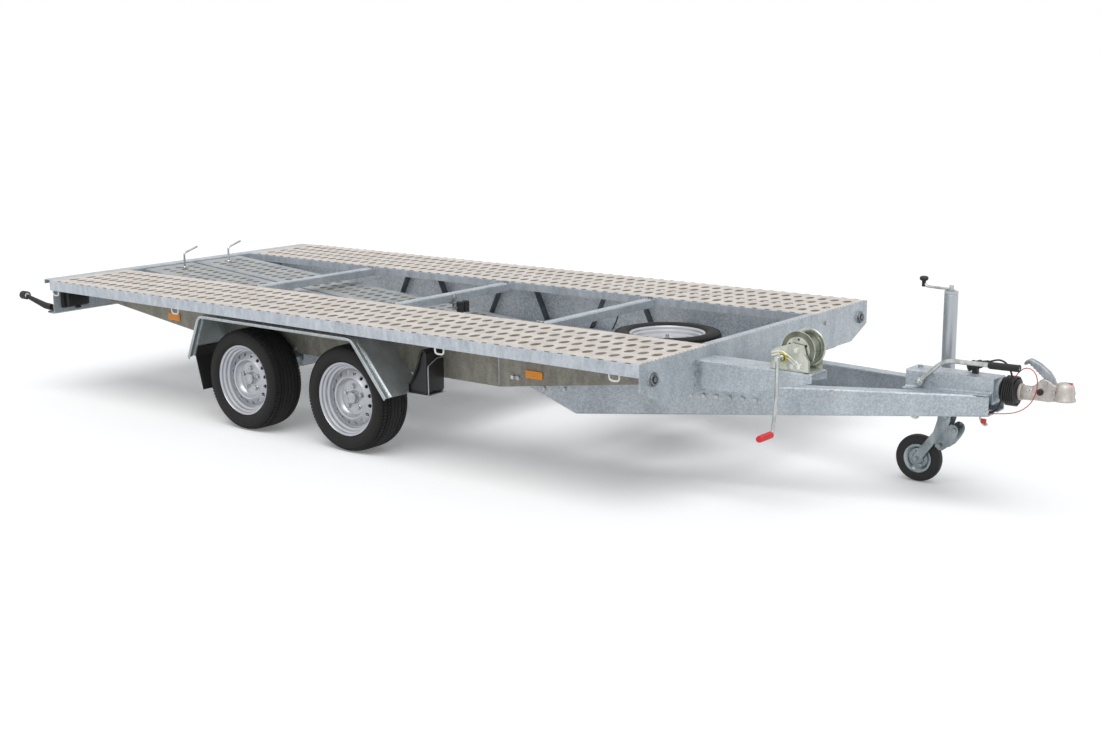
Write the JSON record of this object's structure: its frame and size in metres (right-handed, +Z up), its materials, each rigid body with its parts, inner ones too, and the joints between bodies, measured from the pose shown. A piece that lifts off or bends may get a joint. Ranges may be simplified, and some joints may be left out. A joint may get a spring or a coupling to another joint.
{
  "type": "car hauler trailer",
  "caption": "Flat twin-axle car transporter with two treadways, stowed ramps, V drawbar, overrun coupling, hand winch, spare wheel and jockey wheel.",
  "frame": {"origin": "on the ground, under the middle of the whole trailer's bounding box", "axes": "+X is the towing direction, +Y is the trailer's left side, +Z is up"},
  "size_m": [5.7474, 2.1072, 0.9282],
  "materials": {
    "galvanised": "hot-dip galvanised, matt with spangle",
    "tread": "galvanised, matt",
    "zinc": "zinc plated, satin",
    "silver": "silver lacquer",
    "cast": "cast, pale grey",
    "rubber": "matt",
    "tyre": "matt",
    "black_plastic": "matt",
    "cable": "satin sheath",
    "red_plastic": "satin",
    "lens": "clear coloured lens"
  },
  "bodies": {
    "chassis": {"side_member_right": "galvanised", "side_member_left": "galvanised", "rear_cross_member": "galvanised", "front_plate": "galvanised", "cross_member_1": "galvanised", "cross_member_2": "galvanised", "cross_member_3": "galvanised", "treadway_right": "tread", "treadway_left": "tread", "drawbar_beam_right": "galvanised", "drawbar_beam_left": "galvanised", "drawbar_cross_rear": "galvanised", "axle_rear": "galvanised", "axle_front": "galvanised", "mudguard_right": "galvanised", "mudguard_left": "galvanised", "mud_flap_right": "rubber", "mud_flap_left": "rubber", "wheel_chock_right": "black_plastic", "wheel_chock_left": "black_plastic", "ramp_right": "tread", "ramp_left": "tread", "ramp_rest": "galvanised", "rubber_buffers": "rubber", "rear_lamp_right": "black_plastic", "rear_lamp_left": "black_plastic", "marker_lamp_right": "black_plastic", "marker_lamp_left": "black_plastic", "spare_tyre": "tyre", "spare_rim": "silver", "spare_carrier": "zinc", "winch_stand": "galvanised", "winch_frame": "zinc", "overrun_housing": "galvanised", "coupling_shaft": "zinc", "bellows": "rubber", "coupling_head": "cast", "coupling_handle": "zinc", "handbrake_lever": "zinc", "cable_coil": "cable", "electric_cable": "cable", "electric_plug": "black_plastic", "breakaway_cable": "red_plastic", "jockey_clamp": "zinc", "jockey_outer_tube": "zinc", "jockey_crank": "zinc"},
    "wheel_rear_right": {"rim_rear_right": "silver", "tyre_rear_right": "tyre"},
    "wheel_rear_left": {"rim_rear_left": "silver", "tyre_rear_left": "tyre"},
    "wheel_front_right": {"rim_front_right": "silver", "tyre_front_right": "tyre"},
    "wheel_front_left": {"rim_front_left": "silver", "tyre_front_left": "tyre"},
    "jockey_leg": {"jockey_inner_tube": "zinc"},
    "jockey_swivel": {"jockey_fork": "zinc"},
    "jockey_wheel": {"jockey_rim": "zinc", "jockey_tyre": "rubber"},
    "drum": {"winch_drum": "zinc"},
    "crank": {"winch_crank": "zinc"}
  },
  "joints": [
    {"name": "wheel_rear_right_spin", "type": "hinge", "parent": "chassis", "child": "wheel_rear_right", "pos_m": [-1.08025, -0.8585, 0.2625], "axis": [0, 1, 0], "continuous": true},
    {"name": "wheel_rear_left_spin", "type": "hinge", "parent": "chassis", "child": "wheel_rear_left", "pos_m": [-1.08025, 0.8585, 0.2625], "axis": [0, 1, 0], "continuous": true},
    {"name": "wheel_front_right_spin", "type": "hinge", "parent": "chassis", "child": "wheel_front_right", "pos_m": [-0.33125, -0.8585, 0.2625], "axis": [0, 1, 0], "continuous": true},
    {"name": "wheel_front_left_spin", "type": "hinge", "parent": "chassis", "child": "wheel_front_left", "pos_m": [-0.33125, 0.8585, 0.2625], "axis": [0, 1, 0], "continuous": true},
    {"name": "jockey_slide", "type": "slide", "parent": "chassis", "child": "jockey_leg", "axis": [0, 0, 1], "range_m": [-0.12, 0.05]},
    {"name": "jockey_swivel_turn", "type": "hinge", "parent": "jockey_leg", "child": "jockey_swivel", "pos_m": [2.22875, 0.235, 0.34], "axis": [0, 0, 1], "continuous": true},
    {"name": "jockey_wheel_spin", "type": "hinge", "parent": "jockey_swivel", "child": "jockey_wheel", "pos_m": [2.11175, 0.235, 0.1075], "axis": [0, 1, 0], "continuous": true},
    {"name": "drum_turn", "type": "hinge", "parent": "chassis", "child": "drum", "pos_m": [1.91675, -0.504, 0.7], "axis": [0, 1, 0], "continuous": true},
    {"name": "crank_turn", "type": "hinge", "parent": "chassis", "child": "crank", "pos_m": [1.85375, -0.5746, 0.664], "axis": [0, 1, 0], "continuous": true}
  ],
  "couplings": [
    {"joint": "crank_turn", "follows": "drum_turn", "ratio": -4}
  ]
}
